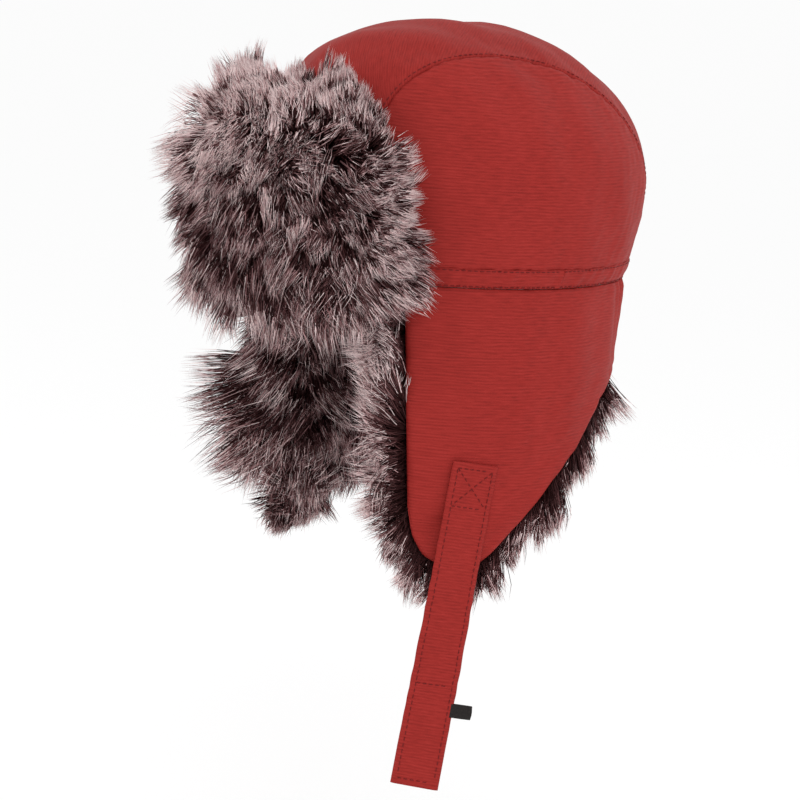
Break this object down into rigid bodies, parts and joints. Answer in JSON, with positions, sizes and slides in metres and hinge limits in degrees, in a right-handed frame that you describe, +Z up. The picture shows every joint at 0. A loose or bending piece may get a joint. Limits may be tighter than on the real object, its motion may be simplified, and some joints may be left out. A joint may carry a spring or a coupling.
{
  "type": "trapper hat",
  "caption": "Padded nylon trapper hat with a fur front flap, fur-lined fold-up ear flaps, a neck guard and a hook-and-loop chin strap.",
  "frame": {"origin": "centre of the head opening, on the lower edge of the base band", "axes": "+Z up through the crown, +X to the wearer's left, -Y to the front"},
  "size_m": [0.1862, 0.275, 0.4114],
  "materials": {
    "nylon": "matt brick-red nylon with a fine horizontal slub rib",
    "nylon_twill": "matt brick-red nylon with the rib on the bias",
    "fur": "long-pile grey-brown imitation fur with dark roots and pale tips",
    "wadding": "white polyester wadding",
    "lining": "smooth black lining cloth",
    "elastic": "woven white elastic",
    "tape": "dark red hook-and-loop tape",
    "label": "plain dark woven tab"
  },
  "bodies": {
    "crown": {"crown_top_panel": "nylon_twill", "crown_side_panel_left": "nylon", "crown_side_panel_right": "nylon", "crown_top_wadding": "wadding", "crown_side_wadding_left": "wadding", "crown_side_wadding_right": "wadding", "crown_lining": "lining", "base_band": "nylon", "back_elastic": "elastic", "sweatband": "lining", "neck_guard_shell": "nylon", "neck_guard_wadding": "wadding", "neck_guard_fur": "fur", "crown_loop_patch": "tape"},
    "front_flap": {"front_flap_shell": "nylon", "front_flap_wadding": "wadding", "front_flap_fur": "fur", "front_flap_hook_patch": "tape"},
    "left_ear_flap": {"left_ear_flap_shell": "nylon", "left_ear_flap_wadding": "wadding", "left_ear_flap_fur": "fur", "chin_strap_sewn_end": "nylon"},
    "right_ear_flap": {"right_ear_flap_shell": "nylon", "right_ear_flap_wadding": "wadding", "right_ear_flap_fur": "fur", "right_flap_loop_tape": "tape"},
    "chin_strap": {"chin_strap": "nylon", "strap_hook_tape": "tape", "strap_flag_tab": "label"}
  },
  "joints": [
    {"name": "front_flap_fold", "type": "hinge", "parent": "crown", "child": "front_flap", "pos_m": [0, -0.1, 0], "axis": [1, 0, 0], "range_deg": [0, 110]},
    {"name": "left_ear_flap_fold", "type": "hinge", "parent": "crown", "child": "left_ear_flap", "pos_m": [0.0893, -0.085, -0.006], "axis": [0, -0.9029, 0.4298], "range_deg": [0, 150]},
    {"name": "right_ear_flap_fold", "type": "hinge", "parent": "crown", "child": "right_ear_flap", "pos_m": [-0.0893, -0.085, -0.006], "axis": [0, 0.9029, -0.4298], "range_deg": [0, 150]},
    {"name": "chin_strap_swing", "type": "hinge", "parent": "left_ear_flap", "child": "chin_strap", "pos_m": [0.08236, -0.0569, -0.1575], "axis": [0.38, 0.917, -0.1214], "range_deg": [-60, 85]}
  ]
}
